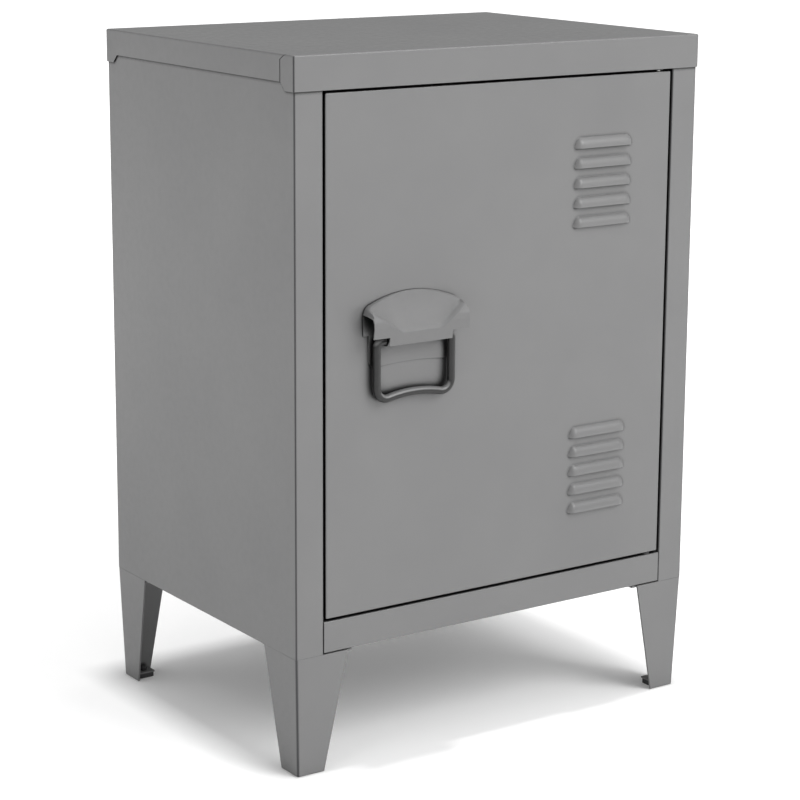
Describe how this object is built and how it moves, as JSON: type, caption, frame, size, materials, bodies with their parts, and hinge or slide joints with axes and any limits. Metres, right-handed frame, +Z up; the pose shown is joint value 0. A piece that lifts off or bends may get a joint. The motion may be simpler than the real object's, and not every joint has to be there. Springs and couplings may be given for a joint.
{
  "type": "locker cabinet",
  "caption": "Low steel locker cabinet on four tapered legs, with one louvred door, a hooded drop bail handle, a lift-off shelf and a magnetic catch.",
  "frame": {"origin": "on the floor, under the middle of the part's box, which runs from the front of the handle's hood to the rear edge of the lid", "axes": "+X to the right seen from the front, +Y to the back (the door faces -Y), +Z up"},
  "size_m": [0.4, 0.3166, 0.575],
  "materials": {
    "grey_paint": "semi-gloss powder coat, fine orange peel",
    "zinc_fixings": "bright zinc plate",
    "black_plastic": "moulded, fine grain",
    "black_rubber": "matt",
    "magnet_ferrite": "matt sintered ferrite"
  },
  "bodies": {
    "cabinet": {"lid": "grey_paint", "left_side": "grey_paint", "right_side": "grey_paint", "back_panel": "grey_paint", "floor_panel": "grey_paint", "header_rail": "grey_paint", "leg_front_left": "grey_paint", "leg_front_right": "grey_paint", "leg_rear_left": "grey_paint", "leg_rear_right": "grey_paint", "shelf": "grey_paint", "lid_studs": "zinc_fixings", "lid_nuts": "zinc_fixings", "back_screws": "zinc_fixings", "rail_screws": "zinc_fixings", "leg_bolts": "zinc_fixings", "leg_nuts": "zinc_fixings", "shelf_clips": "zinc_fixings", "catch_poles": "zinc_fixings", "catch_screws": "zinc_fixings", "foot_glides": "black_plastic", "catch_body": "black_plastic", "hinge_bush_upper": "black_plastic", "hinge_bush_lower": "black_plastic", "door_bumpers": "black_rubber", "catch_magnet": "magnet_ferrite"},
    "door": {"door_panel": "grey_paint", "door_stiffener": "grey_paint", "hinge_pin_upper": "zinc_fixings", "hinge_pin_lower": "zinc_fixings", "strike_plate": "zinc_fixings", "strike_rivets": "zinc_fixings", "handle_plate": "grey_paint", "handle_hood": "grey_paint", "handle_rivets": "zinc_fixings"},
    "bail": {"bail": "grey_paint"}
  },
  "joints": [
    {"name": "door_hinge", "type": "hinge", "parent": "cabinet", "child": "door", "pos_m": [0.161, -0.13575, 0.337], "axis": [0, 0, 1], "range_deg": [0, 115]},
    {"name": "bail_swing", "type": "hinge", "parent": "door", "child": "bail", "pos_m": [-0.0915, -0.14625, 0.3495], "axis": [-1, 0, 0], "range_deg": [0, 93]}
  ]
}
